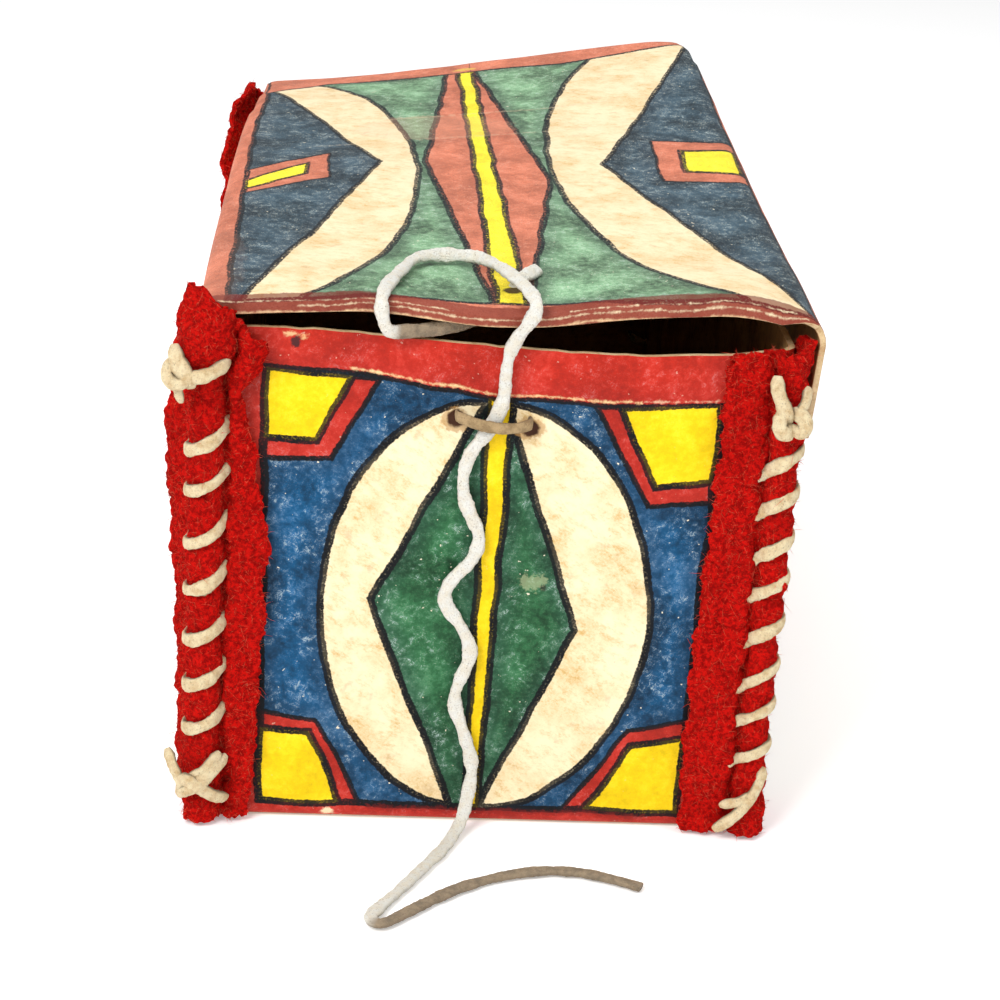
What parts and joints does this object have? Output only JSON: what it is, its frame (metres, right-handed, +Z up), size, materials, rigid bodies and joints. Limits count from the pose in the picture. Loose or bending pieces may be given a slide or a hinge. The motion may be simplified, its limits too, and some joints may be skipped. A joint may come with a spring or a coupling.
{
  "type": "lidded rawhide box",
  "caption": "Painted folded rawhide box with a hide-hinged lid, side flaps, red wool bound corners laced with thong, and a tie thong through a front loop.",
  "frame": {"origin": "on the surface the box stands on, under the middle of the box without its loose tie thong", "axes": "+X to the box's right seen from the front, +Y from the front panel to the hinge side, +Z up"},
  "size_m": [0.2142, 0.4513, 0.2202],
  "materials": {
    "painted_rawhide": "painted rawhide, semi-matt",
    "painted_rawhide_lid": "painted rawhide, worn and matt",
    "red_wool": "fuzzy wool trade cloth",
    "lacing_thong": "tanned hide thong",
    "tie_thong": "soft white-tanned thong"
  },
  "bodies": {
    "box": {"hide_body": "painted_rawhide", "cloth_front_left": "red_wool", "cloth_front_right": "red_wool", "cloth_back_left": "red_wool", "cloth_back_right": "red_wool", "lacing_front_left": "lacing_thong", "lacing_front_right": "lacing_thong", "lacing_back_left": "lacing_thong", "lacing_back_right": "lacing_thong", "loop_thong": "lacing_thong"},
    "lid": {"hide_lid": "painted_rawhide_lid", "tie_thong_upper": "tie_thong"},
    "tie": {"tie_thong_lower": "tie_thong"}
  },
  "joints": [
    {"name": "lid_hinge", "type": "hinge", "parent": "box", "child": "lid", "pos_m": [0, 0.1819, 0.186], "axis": [-1, 0, 0], "range_deg": [0, 110], "deforming": ["tie_thong_upper", "tie_thong_lower"]},
    {"name": "tie_swing", "type": "hinge", "parent": "lid", "child": "tie", "pos_m": [0.007, -0.1909, 0.1926], "axis": [-1, 0, 0], "range_deg": [-110, 0]}
  ],
  "couplings": [
    {"joint": "tie_swing", "follows": "lid_hinge", "ratio": -1}
  ]
}
